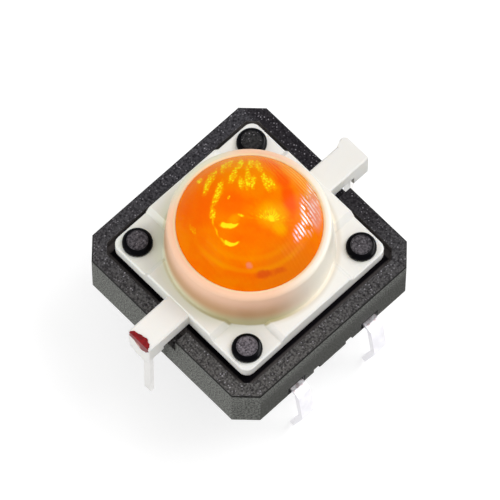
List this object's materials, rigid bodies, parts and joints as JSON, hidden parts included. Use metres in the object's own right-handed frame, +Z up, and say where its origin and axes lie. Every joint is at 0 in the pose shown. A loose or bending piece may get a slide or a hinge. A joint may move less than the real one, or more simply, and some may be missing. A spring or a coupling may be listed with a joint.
{
  "type": "tactile push button switch",
  "caption": "Square illuminated tactile push button switch with a domed amber lamp in a white collar, staked pegs, side lamp arms and bent through-hole legs.",
  "frame": {"origin": "centre of the face under the base that seats on the board", "axes": "+Z up along the press direction reversed, away from the board; the two lamp arms lie along Y with the painted one towards -Y; the switch legs leave towards +X and -X"},
  "size_m": [0.0136, 0.0149, 0.0134],
  "materials": {
    "black_nylon": "moulded black glass-filled nylon with a fine speckled sheen",
    "white_nylon": "milky translucent white moulding, satin",
    "amber_epoxy": "tinted clear epoxy with fine mould lines",
    "tinned_strip": "bright tin plate",
    "tinned_lead": "bright tin plate",
    "dome_steel": "thin rolled spring steel",
    "lamp_die": "sawn crystal",
    "bond_gold": "drawn gold wire",
    "red_paint": "hand-dabbed paint with ragged edges"
  },
  "bodies": {
    "base": {"base": "black_nylon", "centre_contact": "tinned_strip", "outer_contact": "tinned_strip", "snap_dome": "dome_steel"},
    "button": {"button_holder": "white_nylon", "lamp_lens": "amber_epoxy", "lamp_anode": "tinned_lead", "lamp_cathode": "tinned_lead", "lamp_chip": "lamp_die", "lamp_bond_wire": "bond_gold", "polarity_mark": "red_paint"}
  },
  "joints": [
    {"name": "button_press", "type": "slide", "parent": "base", "child": "button", "axis": [0, 0, 1], "range_m": [-0.0003, 0], "stiffness_N_per_m": 6000, "springref_m": 0.00005, "deforming": ["snap_dome"]}
  ]
}
